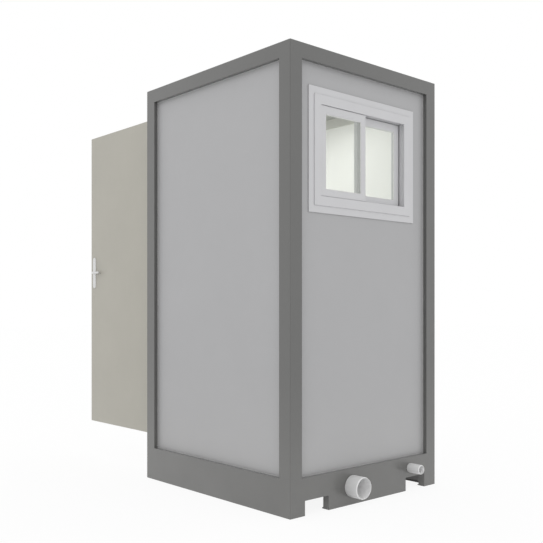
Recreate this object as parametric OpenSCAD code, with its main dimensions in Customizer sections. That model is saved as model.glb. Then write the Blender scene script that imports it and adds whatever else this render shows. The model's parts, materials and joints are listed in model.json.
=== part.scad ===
// Portable toilet cabin: a folded steel frame with sandwich wall panels, a sliding window,
// a hinged door with lever handles, lift openings in the base and two pipe stubs.
// Z is up and the ground is at z = 0. The rear wall faces +Y and the doorway faces -Y.
// The door is drawn standing open at a right angle to the front wall.
// The origin is on the ground, under the middle of the whole box with the door open.
// Left and right are as seen by a person standing in front of the doorway.

/* [Cabin] */
// Outside width of the cabin, along X
body_w = 1260; // [1150:1:1400]
// Outside depth of the cabin, along Y
body_d = 1380; // [1250:1:1600]
// Height from the ground to the top of the roof rails
body_h = 2540; // [2480:1:2700]
// Thickness of the wall and ceiling sandwich panels
panel_t = 50; // [40:1:60]

/* [Frame] */
// Width of each face of a corner post
post_w = 88; // [75:1:95]
// Depth of the frame in front of the wall panels
frame_t = 28; // [24:1:30]
// Outside fold radius of a corner post
post_r = 5; // [2:0.5:8]
// Height of the roof rails
roof_rail_h = 85; // [70:1:100]
// Height of the base rails
base_h = 204; // [180:1:220]
// Thickness of the base rails
base_t = 45; // [40:1:49]
// Width of the folded toe inside the bottom edge of the base rails
toe_w = 8; // [5:1:12]
// Height of that toe
toe_h = 7; // [4:1:10]

/* [Lift openings] */
// Distance from the cabin's side to the lift opening
lift_inset = 111; // [100:1:130]
// Width of a lift opening
lift_w = 182; // [150:1:210]
// Height of a lift opening
lift_h = 81; // [60:1:85]

/* [Pipe stubs] */
// Outside radius of the drain stub
drain_r = 62.5; // [50:0.5:65]
// Wall thickness of the drain stub
drain_wall = 4; // [3:0.5:6]
// Height of the drain stub's centre
drain_z = 105; // [95:1:115]
// Sideways position of the drain stub
drain_x = 145; // [60:1:200]
// Outside radius of the water stub
water_r = 28.5; // [20:0.5:30]
// Wall thickness of the water stub
water_wall = 4; // [3:0.5:6]
// Height of the water stub's centre
water_z = 138; // [110:1:150]
// Sideways position of the water stub
water_x = -375; // [-450:1:-300]
// Reach of both stubs behind the rear rail
stub_out = 90; // [60:1:120]
// How much thinner, in radius, each stub is where it lies in the rail
stub_relief = 1; // [0.8:0.1:1.5]

/* [Window] */
// Overall width of the window flange
win_w = 906; // [860:1:940]
// Overall height of the window flange
win_h = 692; // [640:1:720]
// Sideways position of the window's centre
win_x = 17; // [-20:1:20]
// Height of the window's centre
win_z = 1987; // [1900:1:2020]
// Width of the flange that laps the wall
flange_w = 40; // [30:1:42]
// Width of the whole window frame profile
win_profile = 94; // [88:1:96]
// Width of the sashes' stiles and bottom rail
sash_w = 40; // [36:1:46]
// Height of the sashes' top rail
sash_top_w = 46; // [36:1:50]

/* [Door] */
// Width of the door leaf
leaf_w = 970; // [940:1:972]
// Height of the door leaf
leaf_h = 2138; // [2100:1:2140]
// Thickness of the door leaf
leaf_t = 40; // [36:1:42]
// Height of the leaf's lower edge above the ground
leaf_z = 261; // [260:1:264]
// Height of the handle's turning centre above the ground
handle_z = 1380; // [1200:1:1500]
// Distance from the handle's turning centre to the free edge of the leaf
handle_inset = 50; // [45:1:80]
// Length of the lever grip
grip_len = 108; // [90:1:130]
// Number of hinges
hinges = 3; // [2:1:4]

/* [Hidden] */
half_w = body_w / 2;
axis_in = 113;
axis_back = 18;
leaf_gap = 10;
door_reach = leaf_gap + leaf_w - axis_back;
rear_y = (body_d + door_reach - stub_out) / 2;
front_y = rear_y - body_d;
inner = frame_t + panel_t;
wall_top = body_h - 43;
roof_sheet_t = 10;
ceil_z = wall_top - panel_t;
trim_h = 65;
trim_t = 10;
flange_t = 10;
board_t = 20;
axis_x = half_w - axis_in;
axis_y = front_y + axis_back;
leaf_x = axis_x - leaf_gap;
leaf_y = axis_y - leaf_gap;
hinge_jamb_w = 30;
lock_jamb_w = 72;
jamb_in = 88;
stop_w = 12;
stop_t = 14;
sill_top = leaf_z - 6;
head_z = leaf_z + leaf_h + 6;
handle_y = leaf_y - leaf_w + handle_inset;
open_w = win_w - 2 * win_profile;
open_h = win_h - 2 * win_profile;
band_front = 16;
frame_back = 92;
sash_front = 22;
sash_t = 28;
sash_step = 33;
glass_t = 6;
front_lap = 11;
back_lap = 22;
glass_back = 8;
eps = 1;

post_color = "dimgray";
panel_color = "silver";
frame_color = "gainsboro";
door_color = "tan";
metal_color = "lightgray";
floor_color = "slategray";

// A box given by its two corners.
module span(x0, x1, y0, y1, z0, z1) {
    translate([x0, y0, z0])
        cube([x1 - x0, y1 - y0, z1 - z0]);
}

// A rectangular ring standing in the rear wall: outer size, border width and its two depths.
module ring(w, h, border, back, front) {
    difference() {
        translate([win_x - w / 2, rear_y - back, win_z - h / 2])
            cube([w, back - front, h]);
        translate([win_x - w / 2 + border, rear_y - back - eps, win_z - h / 2 + border])
            cube([w - 2 * border, back - front + 2 * eps, h - 2 * border]);
    }
}

// Section of the rear right corner post: an angle with its outer fold rounded.
module post_section() {
    difference() {
        union() {
            square([post_w, post_w - post_r]);
            square([post_w - post_r, post_w]);
            translate([post_w - post_r, post_w - post_r])
                circle(r = post_r, $fn = 48);
        }
        translate([-eps, -eps])
            square([post_w - frame_t + eps, post_w - frame_t + eps]);
    }
}

// A corner post on the +X side, at the rear.
module post_at_rear_right() {
    color(post_color)
        translate([half_w - post_w, rear_y - post_w, 0])
            linear_extrude(height = body_h)
                post_section();
}

// Mirrors its children to the other side of the cabin.
module to_left() {
    mirror([1, 0, 0])
        children();
}

// Mirrors its children from the rear wall to the front wall.
module to_front() {
    translate([0, front_y + rear_y, 0])
        mirror([0, 1, 0])
            children();
}

module corner_post_rear_right() {
    post_at_rear_right();
}

module corner_post_rear_left() {
    to_left()
        post_at_rear_right();
}

module corner_post_front_right() {
    to_front()
        post_at_rear_right();
}

module corner_post_front_left() {
    to_front()
        to_left()
            post_at_rear_right();
}

// A rail along the rear wall with two open-bottomed lift openings.
module long_base_rail() {
    difference() {
        union() {
            span(post_w - half_w, half_w - post_w, rear_y - frame_t - eps, rear_y, 0, base_h);
            span(frame_t - half_w, half_w - frame_t, rear_y - base_t, rear_y - frame_t, 0, base_h);
            span(base_t - half_w, half_w - base_t, rear_y - inner, rear_y - base_t + eps,
                base_h - flange_t, base_h);
            span(base_t - half_w, half_w - base_t, rear_y - base_t - toe_w, rear_y - base_t + eps, 0, toe_h);
        }
        for (side = [-1, 1])
            translate([side * (half_w - lift_inset - lift_w / 2) - lift_w / 2, rear_y - base_t - toe_w - eps, -eps])
                cube([lift_w, base_t + toe_w + 2 * eps, lift_h + eps]);
    }
}

module base_rail_rear() {
    color(post_color)
        difference() {
            long_base_rail();
            translate([drain_x, rear_y + eps, drain_z])
                rotate([90, 0, 0])
                    cylinder(r = drain_r - stub_relief, h = base_t + 2 * eps, $fn = 96);
            translate([water_x, rear_y + eps, water_z])
                rotate([90, 0, 0])
                    cylinder(r = water_r - stub_relief, h = base_t + 2 * eps, $fn = 64);
        }
}

module base_rail_front() {
    color(post_color)
        to_front()
            long_base_rail();
}

// A rail along the right wall.
module side_base_rail() {
    color(post_color) {
        span(half_w - frame_t - eps, half_w, front_y + post_w, rear_y - post_w, 0, base_h);
        span(half_w - base_t, half_w - frame_t, front_y + base_t, rear_y - base_t, 0, base_h);
        span(half_w - inner, half_w - base_t + eps, front_y + inner, rear_y - inner,
            base_h - flange_t, base_h);
        span(half_w - base_t - toe_w, half_w - base_t + eps,
            front_y + base_t + toe_w, rear_y - base_t - toe_w, 0, toe_h);
    }
}

module base_rail_right() {
    side_base_rail();
}

module base_rail_left() {
    to_left()
        side_base_rail();
}

// Three beams across the underframe.
module floor_joists() {
    joist_w = 50;
    joist_low = 95;
    color(post_color)
        for (step = [-1, 0, 1])
            span(base_t - half_w, half_w - base_t,
                (front_y + rear_y) / 2 + step * 440 - joist_w / 2,
                (front_y + rear_y) / 2 + step * 440 + joist_w / 2,
                joist_low, base_h - flange_t - board_t);
}

module floor_board() {
    color("peru")
        span(base_t - half_w, half_w - base_t, front_y + base_t, rear_y - base_t,
            base_h - flange_t - board_t, base_h - flange_t);
}

module floor_covering() {
    color(floor_color)
        span(inner - half_w, half_w - inner, front_y + inner, rear_y - inner,
            base_h - flange_t, base_h);
}

// A roof rail along the rear wall.
module long_roof_rail() {
    color(post_color)
        span(post_w - half_w, half_w - post_w, rear_y - frame_t, rear_y, body_h - roof_rail_h, body_h);
}

module roof_rail_rear() {
    long_roof_rail();
}

module roof_rail_front() {
    to_front()
        long_roof_rail();
}

// A roof rail along the right wall.
module side_roof_rail() {
    color(post_color)
        span(half_w - frame_t, half_w, front_y + post_w, rear_y - post_w, body_h - roof_rail_h, body_h);
}

module roof_rail_right() {
    side_roof_rail();
}

module roof_rail_left() {
    to_left()
        side_roof_rail();
}

module ceiling_panel() {
    color(panel_color)
        span(inner - half_w, half_w - inner, front_y + jamb_in, rear_y - inner, ceil_z, wall_top);
}

// The steel edge that shows inside, under the ceiling along the left, right and rear walls.
module ceiling_trim() {
    trim_x = half_w - inner;
    color(post_color) {
        for (x = [-trim_x, trim_x - trim_t])
            span(x, x + trim_t, front_y + jamb_in, rear_y - inner, ceil_z - trim_h, ceil_z);
        span(trim_t - trim_x - eps, trim_x - trim_t + eps, rear_y - inner - trim_t, rear_y - inner,
            ceil_z - trim_h, ceil_z);
    }
}

module roof_sheet() {
    color(panel_color)
        span(frame_t - half_w, half_w - frame_t, front_y + frame_t, rear_y - frame_t,
            wall_top, wall_top + roof_sheet_t);
}

// The right wall, between the front and rear walls.
module side_wall() {
    color(panel_color)
        span(half_w - inner, half_w - frame_t, front_y + jamb_in, rear_y - inner, base_h, wall_top);
}

module right_wall() {
    side_wall();
}

module left_wall() {
    to_left()
        side_wall();
}

module rear_wall() {
    color(panel_color)
        difference() {
            span(frame_t - half_w, half_w - frame_t, rear_y - inner, rear_y - frame_t, base_h, wall_top);
            translate([win_x - win_w / 2 + flange_w, rear_y - inner - eps, win_z - win_h / 2 + flange_w])
                cube([win_w - 2 * flange_w, panel_t + 2 * eps, win_h - 2 * flange_w]);
        }
}

module front_wall_right() {
    color(panel_color)
        span(half_w - post_w, half_w - frame_t, front_y + frame_t, front_y + jamb_in, base_h, wall_top);
}

module front_wall_left() {
    to_left()
        front_wall_right();
}

module front_wall_top() {
    color(panel_color)
        span(post_w - half_w, half_w - post_w, front_y + frame_t, front_y + jamb_in,
            body_h - roof_rail_h, wall_top);
}

// A door jamb with its stop behind the leaf.
module door_jamb_hinge_side() {
    color(post_color) {
        span(half_w - post_w - hinge_jamb_w, half_w - post_w, front_y + frame_t, front_y + jamb_in,
            base_h, body_h - roof_rail_h);
        span(half_w - post_w - hinge_jamb_w - stop_w, half_w - post_w - hinge_jamb_w + eps,
            front_y + jamb_in - stop_t, front_y + jamb_in, sill_top, head_z);
    }
}

module door_jamb_lock_side() {
    color(post_color) {
        span(post_w - half_w, post_w - half_w + lock_jamb_w, front_y + frame_t, front_y + jamb_in,
            base_h, body_h - roof_rail_h);
        span(post_w - half_w + lock_jamb_w - eps, post_w - half_w + lock_jamb_w + stop_w,
            front_y + jamb_in - stop_t, front_y + jamb_in, sill_top, head_z);
    }
}

module door_head() {
    color(post_color) {
        span(post_w - half_w + lock_jamb_w, half_w - post_w - hinge_jamb_w,
            front_y + frame_t, front_y + jamb_in, head_z, body_h - roof_rail_h);
        span(post_w - half_w + lock_jamb_w + stop_w, half_w - post_w - hinge_jamb_w - stop_w,
            front_y + jamb_in - stop_t, front_y + jamb_in, head_z - stop_w, head_z + eps);
    }
}

module door_sill() {
    color(metal_color)
        span(post_w - half_w + lock_jamb_w, half_w - post_w - hinge_jamb_w,
            front_y + frame_t, front_y + jamb_in, base_h, sill_top);
}

module window_frame() {
    color(frame_color) {
        ring(win_w, win_h, flange_w + eps, frame_t, sash_front);
        ring(win_w - 2 * flange_w, win_h - 2 * flange_w, win_profile - flange_w, frame_back, band_front);
    }
}

module window_inner_trim() {
    color(frame_color)
        ring(win_w - 2 * flange_w + 50, win_h - 2 * flange_w + 50, 25, inner + 8, inner);
}

// A sash: its left edge seen from outside is at reach x, its face at the given depth.
module sash(x_low, x_high, front) {
    difference() {
        span(x_low, x_high, rear_y - front - sash_t, rear_y - front,
            win_z - open_h / 2, win_z + open_h / 2);
        span(x_low + sash_w, x_high - sash_w, rear_y - front - sash_t - eps, rear_y - front + eps,
            win_z - open_h / 2 + sash_w, win_z + open_h / 2 - sash_top_w);
    }
}

module pane(x_low, x_high, front) {
    span(x_low + sash_w, x_high - sash_w,
        rear_y - front - glass_back - glass_t / 2, rear_y - front - glass_back + glass_t / 2,
        win_z - open_h / 2 + sash_w, win_z + open_h / 2 - sash_top_w);
}

module window_sash_right() {
    color(frame_color)
        sash(win_x - front_lap, win_x + open_w / 2, sash_front);
}

module window_sash_left() {
    color(frame_color)
        sash(win_x - open_w / 2, win_x + back_lap, sash_front + sash_step);
}

module window_glass_right() {
    color("lightcyan", 0.4)
        pane(win_x - front_lap, win_x + open_w / 2, sash_front);
}

module window_glass_left() {
    color("lightcyan", 0.4)
        pane(win_x - open_w / 2, win_x + back_lap, sash_front + sash_step);
}

// An open pipe lying through the rear rail. Its full-size socket end stops 5 mm short of the rail.
module stub(x, z, r, wall) {
    inside_len = 80;
    rail_gap = 5;
    whole_len = stub_out + base_t + inside_len;
    color(metal_color)
        translate([x, rear_y + stub_out, z])
            rotate([90, 0, 0])
                difference() {
                    union() {
                        cylinder(r = r, h = stub_out - rail_gap, $fn = 96);
                        cylinder(r = r - stub_relief, h = whole_len, $fn = 96);
                    }
                    translate([0, 0, -eps])
                        cylinder(r = r - wall, h = whole_len + 2 * eps, $fn = 96);
                }
}

module drain_stub() {
    stub(drain_x, drain_z, drain_r, drain_wall);
}

module water_stub() {
    stub(water_x, water_z, water_r, water_wall);
}

barrel_r = 9;
barrel_h = 60;
pin_r = 5;
pin_gap = 0.3;
plate_t = 3;
plate_inset = 2;

function hinge_z(i) = leaf_z + 220 + i * (leaf_h - 440) / (hinges - 1);

// The halves on the jamb, each with its pin standing up.
module frame_hinge_halves() {
    color(metal_color)
        for (i = [0:hinges - 1])
            translate([axis_x, axis_y, hinge_z(i)]) {
                translate([0, 0, -barrel_h])
                    cylinder(r = barrel_r, h = barrel_h, $fn = 48);
                translate([0, 0, -eps])
                    cylinder(r = pin_r, h = barrel_h - 8 + eps, $fn = 32);
                translate([0, frame_t - axis_back - plate_t, -barrel_h])
                    cube([axis_in - post_w - plate_inset, plate_t, barrel_h]);
            }
}

// The halves on the leaf, each bored to sit over a pin.
module door_hinge_halves() {
    color(metal_color)
        for (i = [0:hinges - 1])
            translate([axis_x, axis_y, hinge_z(i) + 1])
                difference() {
                    union() {
                        cylinder(r = barrel_r, h = barrel_h, $fn = 48);
                        translate([-leaf_gap, -50, 0])
                            cube([plate_t, 50, barrel_h]);
                    }
                    translate([0, 0, -eps])
                        cylinder(r = pin_r + pin_gap, h = barrel_h - 4 + eps, $fn = 32);
                }
}

module door_leaf() {
    spindle_hole_r = 12;
    color(door_color)
        difference() {
            span(leaf_x - leaf_t, leaf_x, leaf_y - leaf_w, leaf_y, leaf_z, leaf_z + leaf_h);
            translate([leaf_x - leaf_t - eps, handle_y, handle_z])
                rotate([0, 90, 0])
                    cylinder(r = spindle_hole_r, h = leaf_t + 2 * eps, $fn = 48);
            faceplate(eps);
        }
}

// The lock's plate, let in flush with the free edge of the leaf.
module faceplate(extra) {
    plate_w = 20;
    span(leaf_x - leaf_t / 2 - plate_w / 2, leaf_x - leaf_t / 2 + plate_w / 2,
        leaf_y - leaf_w - extra, leaf_y - leaf_w + plate_t, handle_z - backplate_h / 2, handle_z + backplate_h / 2);
}

neck_r = 9;
backplate_h = 231;
backplate_w = 40;
backplate_t = 6;

// A long plate with round ends, lying in the YZ plane and bored for the lever's neck.
module backplate() {
    rotate([90, 0, 90])
        linear_extrude(height = backplate_t)
            difference() {
                union() {
                    square([backplate_w, backplate_h - backplate_w], center = true);
                    for (end = [-1, 1])
                        translate([0, end * (backplate_h - backplate_w) / 2])
                            circle(r = backplate_w / 2, $fn = 64);
                }
                circle(r = neck_r + pin_gap, $fn = 48);
            }
}

module backplate_outside() {
    color(metal_color)
        translate([leaf_x, handle_y, handle_z])
            backplate();
}

module backplate_inside() {
    color(metal_color)
        translate([leaf_x - leaf_t - backplate_t, handle_y, handle_z])
            backplate();
}

module lock_faceplate() {
    color(metal_color)
        faceplate(0);
}

grip_r = 8;
neck_len = 26;

// A lever: a neck along +X and a grip running to the hinge side.
module lever() {
    rotate([0, 90, 0])
        cylinder(r = neck_r, h = neck_len, $fn = 48);
    translate([neck_len, 0, 0])
        sphere(r = grip_r, $fn = 48);
    translate([neck_len, 0, 0])
        rotate([-90, 0, 0])
            cylinder(r = grip_r, h = grip_len - grip_r, $fn = 48);
    translate([neck_len, grip_len - grip_r, 0])
        sphere(r = grip_r, $fn = 48);
}

module lever_outside() {
    color(metal_color)
        translate([leaf_x, handle_y, handle_z])
            lever();
}

module lever_inside() {
    color(metal_color)
        translate([leaf_x - leaf_t, handle_y, handle_z])
            mirror([1, 0, 0])
                lever();
}

module spindle() {
    bar = 8;
    color(metal_color)
        span(leaf_x - leaf_t, leaf_x, handle_y - bar / 2, handle_y + bar / 2,
            handle_z - bar / 2, handle_z + bar / 2);
}

base_rail_front();
base_rail_rear();
base_rail_left();
base_rail_right();
floor_joists();
floor_board();
floor_covering();
corner_post_front_left();
corner_post_front_right();
corner_post_rear_left();
corner_post_rear_right();
roof_rail_front();
roof_rail_rear();
roof_rail_left();
roof_rail_right();
ceiling_panel();
ceiling_trim();
roof_sheet();
left_wall();
right_wall();
rear_wall();
front_wall_left();
front_wall_right();
front_wall_top();
door_jamb_hinge_side();
door_jamb_lock_side();
door_head();
door_sill();
window_frame();
window_inner_trim();
window_sash_left();
window_sash_right();
window_glass_left();
window_glass_right();
drain_stub();
water_stub();
frame_hinge_halves();
door_leaf();
door_hinge_halves();
backplate_outside();
backplate_inside();
lock_faceplate();
lever_outside();
lever_inside();
spindle();
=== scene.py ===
"""Looks of the portable toilet cabin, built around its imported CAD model. Metres, Z up, rear wall at +Y."""

import json
import math

import bmesh
import bpy
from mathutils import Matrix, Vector


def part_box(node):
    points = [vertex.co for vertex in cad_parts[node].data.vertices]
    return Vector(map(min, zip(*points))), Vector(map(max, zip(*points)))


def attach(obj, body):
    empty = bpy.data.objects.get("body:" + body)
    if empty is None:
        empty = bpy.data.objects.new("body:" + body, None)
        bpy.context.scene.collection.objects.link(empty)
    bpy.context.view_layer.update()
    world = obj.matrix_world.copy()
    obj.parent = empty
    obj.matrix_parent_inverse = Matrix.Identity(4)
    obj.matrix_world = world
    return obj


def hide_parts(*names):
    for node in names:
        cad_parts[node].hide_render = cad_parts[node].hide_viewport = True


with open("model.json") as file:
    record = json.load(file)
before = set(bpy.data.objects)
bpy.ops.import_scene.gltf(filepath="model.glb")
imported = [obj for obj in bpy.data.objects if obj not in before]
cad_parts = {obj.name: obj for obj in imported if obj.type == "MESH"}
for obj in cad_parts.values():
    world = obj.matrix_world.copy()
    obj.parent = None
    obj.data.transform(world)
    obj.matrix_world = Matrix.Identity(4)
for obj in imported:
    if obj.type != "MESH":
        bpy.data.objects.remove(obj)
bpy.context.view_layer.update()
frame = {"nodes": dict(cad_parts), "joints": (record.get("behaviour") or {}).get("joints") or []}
scene = bpy.context.scene
MM = 0.001

# ---------------------------------------------------------------- places read from the CAD model
post_lo, post_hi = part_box("corner_post_rear_right")
wall_lo, wall_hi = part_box("rear_wall")
leaf_lo, leaf_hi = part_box("door_leaf")
HALF = post_hi.x  # half the cabin's width
REAR = post_hi.y  # outer face of the wall with the window
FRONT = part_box("corner_post_front_right")[0].y  # outer face of the wall with the doorway
MIDDLE_Y = (FRONT + REAR) / 2
TOP = post_hi.z
POST = post_hi.x - post_lo.x  # width of a post's two flats
FRAME_T = REAR - wall_hi.y  # how far the wall panels are set back behind the frame
INNER = REAR - wall_lo.y  # from the cabin's outer face to a panel's inner face
BASE_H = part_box("base_rail_rear")[1].z  # top of the base rails
RAIL_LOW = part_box("roof_rail_rear")[0].z  # bottom of the roof rails


# ---------------------------------------------------------------- materials
# Painted light: a pale tint laid on low down, standing in for light bounced up from the floor.
FLOOR_BOUNCE_TINT = (0.62, 0.61, 0.58)
FLOOR_BOUNCE_TOP = 0.75  # height above the ground where the painted bounce light ends
# Painted shade: a dark tint laid into inner corners, standing in for the shade that falls there.
CORNER_SHADE_TINT = (0.12, 0.118, 0.11)
CORNER_SHADE_REACH = 0.14
COAT_ROUGHNESS = 0.16


class Nodes:
    """A short way to write a material's nodes."""

    def __init__(self, name):
        self.material = bpy.data.materials.new(name)
        self.material.use_nodes = True
        self.tree = self.material.node_tree
        self.tree.nodes.clear()
        self.out = self.add("ShaderNodeOutputMaterial")
        self.coords = self.add("ShaderNodeTexCoord")

    def add(self, kind, **values):
        node = self.tree.nodes.new(kind)
        for key, value in values.items():
            setattr(node, key, value)
        return node

    def link(self, a, b):
        self.tree.links.new(a, b)

    def noise(self, scale, detail=3.0, rough=0.5, stretch=(1, 1, 1)):
        """Cloudy values from 0 to 1, scale of them to a metre."""
        mapping = self.add("ShaderNodeMapping")
        mapping.inputs["Scale"].default_value = stretch
        self.link(self.coords.outputs["Object"], mapping.inputs["Vector"])
        node = self.add("ShaderNodeTexNoise")
        node.inputs["Scale"].default_value = scale
        node.inputs["Detail"].default_value = detail
        node.inputs["Roughness"].default_value = rough
        self.link(mapping.outputs["Vector"], node.inputs["Vector"])
        return node.outputs["Fac"]

    def ramp(self, value, low, high, a, b):
        """Maps value from low..high to a..b."""
        node = self.add("ShaderNodeMapRange")
        node.inputs["From Min"].default_value = low
        node.inputs["From Max"].default_value = high
        node.inputs["To Min"].default_value = a
        node.inputs["To Max"].default_value = b
        self.link(value, node.inputs["Value"])
        return node.outputs["Result"]

    def tint(self, value, colour, spread, shift=(0, 0, 0)):
        """A colour that drifts by spread around the given one as value goes from 0.3 to 0.7."""
        fac = self.ramp(value, 0.3, 0.7, 0, 1)
        mix = self.add("ShaderNodeMix", data_type="RGBA")
        low = [max(0, c * (1 - spread) - s) for c, s in zip(colour, shift)]
        high = [min(1, c * (1 + spread) + s) for c, s in zip(colour, shift)]
        mix.inputs["A"].default_value = (*low, 1)
        mix.inputs["B"].default_value = (*high, 1)
        self.link(fac, mix.inputs["Factor"])
        return mix.outputs["Result"]

    def math(self, operation, a, b):
        """Two values put together. b may be a plain number."""
        node = self.add("ShaderNodeMath", operation=operation)
        self.link(a, node.inputs[0])
        if isinstance(b, bpy.types.NodeSocket):
            self.link(b, node.inputs[1])
        else:
            node.inputs[1].default_value = b
        return node.outputs["Value"]

    def covered(self, paint, colour, amount):
        """The paint with an amount of another colour over it."""
        mix = self.add("ShaderNodeMix", data_type="RGBA")
        mix.inputs["B"].default_value = (*colour, 1)
        self.link(paint, mix.inputs["A"])
        self.link(amount, mix.inputs["Factor"])
        return mix.outputs["Result"]

    def lit_from_below(self, paint, share):
        """Painted light over the paint, a pale tint standing in for light bounced up from the floor: its
        share at the ground, fading to nothing at FLOOR_BOUNCE_TOP.
        """
        place = self.add("ShaderNodeSeparateXYZ")
        self.link(self.coords.outputs["Object"], place.inputs["Vector"])
        low_down = self.ramp(place.outputs["Z"], 0.0, FLOOR_BOUNCE_TOP, share, 0.0)
        patchy = self.ramp(self.noise(3.5, 5, 0.6), 0.3, 0.7, 0.75, 1.25)
        return self.covered(paint, FLOOR_BOUNCE_TINT, self.math("MULTIPLY", low_down, patchy))

    def shaded_in_corners(self, paint, share):
        """Painted shade: darker paint within CORNER_SHADE_REACH of an inner corner, found by an ambient
        occlusion node.
        """
        corner = self.add("ShaderNodeAmbientOcclusion", samples=8)
        corner.inputs["Distance"].default_value = CORNER_SHADE_REACH
        shade_patches = self.ramp(self.noise(9, 4, 0.6), 0.3, 0.7, 0.8, 1.2)
        depth = self.ramp(corner.outputs["AO"], 0.4, 1.0, share, 0.0)
        return self.covered(paint, CORNER_SHADE_TINT, self.math("MULTIPLY", depth, shade_patches))

    def bump(self, height, strength, distance, under=None):
        """Relief from a height value, on top of the relief under it. distance is in metres."""
        node = self.add("ShaderNodeBump")
        node.inputs["Strength"].default_value = strength
        node.inputs["Distance"].default_value = distance
        self.link(height, node.inputs["Height"])
        if under is not None:
            self.link(under, node.inputs["Normal"])
        return node.outputs["Normal"]

    def principled(self, **inputs):
        """The surface shader. An input's name has _ for each space, and its value is a socket or a number."""
        node = self.add("ShaderNodeBsdfPrincipled")
        for key, value in inputs.items():
            socket = node.inputs[key.replace("_", " ")]
            if isinstance(value, bpy.types.NodeSocket):
                self.link(value, socket)
            else:
                socket.default_value = value
        self.link(node.outputs["BSDF"], self.out.inputs["Surface"])
        return node


def coated(name, colour, spread, roughness, peel=900.0, specular=0.5, coat=0.0, floor_bounce=0.0, corner_shade=0.0):
    """Painted or powder-coated sheet: slow tone drift, fine orange peel, slight cloudiness in the gloss.

    floor_bounce is how much painted light, a pale tint standing in for light bounced up from the floor, lies
    on it at ground level. It thins out upwards.
    corner_shade is how much painted shade darkens the paint in inner corners.
    """
    n = Nodes(name)
    drift = n.noise(2.2, 4, 0.55)
    fine = n.noise(peel, 2, 0.4)
    cloud = n.noise(14, 3, 0.6)
    sheet = n.noise(5, 2, 0.5)
    normal = n.bump(sheet, 0.25, 0.6 * MM)
    normal = n.bump(fine, 0.35, 0.04 * MM, normal)
    paint = n.tint(drift, colour, spread)
    # Painted light: paler low down, standing in for light bounced up from the floor.
    if floor_bounce:
        paint = n.lit_from_below(paint, floor_bounce)
    # Painted shade: darker in inner corners.
    if corner_shade:
        paint = n.shaded_in_corners(paint, corner_shade)
    n.principled(
        Base_Color=paint,
        Roughness=n.ramp(cloud, 0.25, 0.75, roughness - 0.05, roughness + 0.06),
        Normal=normal,
        Specular_IOR_Level=specular,
        Coat_Weight=coat,
        Coat_Roughness=COAT_ROUGHNESS,
    )
    return n.material


def moulded(name, colour, roughness, grain=1600.0, depth=0.02 * MM):
    """Extruded or moulded plastic: even colour, a faint grain, soft gloss."""
    n = Nodes(name)
    drift = n.noise(6, 3, 0.5)
    fine = n.noise(grain, 2, 0.5)
    cloud = n.noise(30, 3, 0.6)
    n.principled(
        Base_Color=n.tint(drift, colour, 0.015),
        Roughness=n.ramp(cloud, 0.3, 0.7, roughness - 0.04, roughness + 0.05),
        Normal=n.bump(fine, 0.3, depth),
    )
    return n.material


def brushed(name, colour, roughness):
    """Satin metal with fine level brushing."""
    n = Nodes(name)
    lines = n.noise(260, 3, 0.6, (1, 1, 40))
    cloud = n.noise(25, 3, 0.6)
    n.principled(
        Base_Color=n.tint(cloud, colour, 0.03),
        Roughness=n.ramp(lines, 0.25, 0.75, roughness - 0.08, roughness + 0.1),
        Normal=n.bump(lines, 0.2, 0.03 * MM),
        Metallic=0.85,
    )
    return n.material


def rubber(name, colour):
    """Matt rubber or sealant with a fine grain."""
    n = Nodes(name)
    fine = n.noise(1400, 3, 0.6)
    cloud = n.noise(40, 3, 0.6)
    n.principled(
        Base_Color=n.tint(cloud, colour, 0.12),
        Roughness=n.ramp(cloud, 0.3, 0.7, 0.62, 0.78),
        Normal=n.bump(fine, 0.4, 0.05 * MM),
    )
    return n.material


def window_glass(name):
    """Thin float glass: nearly clear, a little green, mirroring more where it is seen at a slant."""
    n = Nodes(name)
    wave = n.noise(3, 2, 0.5)
    normal = n.bump(wave, 0.1, 0.4 * MM)
    clear = n.add("ShaderNodeBsdfTransparent")
    clear.inputs["Color"].default_value = (0.972, 0.985, 0.966, 1)
    gloss = n.add("ShaderNodeBsdfGlossy")
    gloss.inputs["Roughness"].default_value = 0.02
    n.link(normal, gloss.inputs["Normal"])
    slant = n.add("ShaderNodeLayerWeight")
    slant.inputs["Blend"].default_value = 0.3
    mix = n.add("ShaderNodeMixShader")
    n.link(n.ramp(slant.outputs["Facing"], 0.0, 1.0, 0.02, 0.25), mix.inputs["Fac"])
    n.link(clear.outputs["BSDF"], mix.inputs[1])
    n.link(gloss.outputs["BSDF"], mix.inputs[2])
    n.link(mix.outputs["Shader"], n.out.inputs["Surface"])
    return n.material


def speckled_vinyl(name, colour):
    """Hard-wearing floor sheet with chips of two tones and a raised pebble grain."""
    n = Nodes(name)
    cells = n.add("ShaderNodeTexVoronoi")
    cells.inputs["Scale"].default_value = 420
    n.link(n.coords.outputs["Object"], cells.inputs["Vector"])
    chips = n.ramp(cells.outputs["Color"], 0.2, 0.8, 0, 1)
    mix = n.add("ShaderNodeMix", data_type="RGBA")
    mix.inputs["A"].default_value = (*[c * 0.75 for c in colour], 1)
    mix.inputs["B"].default_value = (*[c * 1.3 for c in colour], 1)
    n.link(chips, mix.inputs["Factor"])
    grain = n.noise(240, 3, 0.5)
    n.principled(
        Base_Color=mix.outputs["Result"],
        Roughness=n.ramp(grain, 0.3, 0.7, 0.5, 0.7),
        Normal=n.bump(grain, 0.5, 0.4 * MM),
    )
    return n.material


def plywood(name, colour):
    """Bare board with its grain along X."""
    n = Nodes(name)
    grain = n.noise(18, 6, 0.65, (1, 14, 14))
    pores = n.noise(300, 3, 0.6, (1, 9, 9))
    n.principled(
        Base_Color=n.tint(grain, colour, 0.25),
        Roughness=n.ramp(pores, 0.3, 0.7, 0.6, 0.8),
        Normal=n.bump(pores, 0.4, 0.2 * MM),
    )
    return n.material


# The frame, wall and door coatings carry painted bounce light low down; the wall coating also has painted
# shade in its inner corners.
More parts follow.
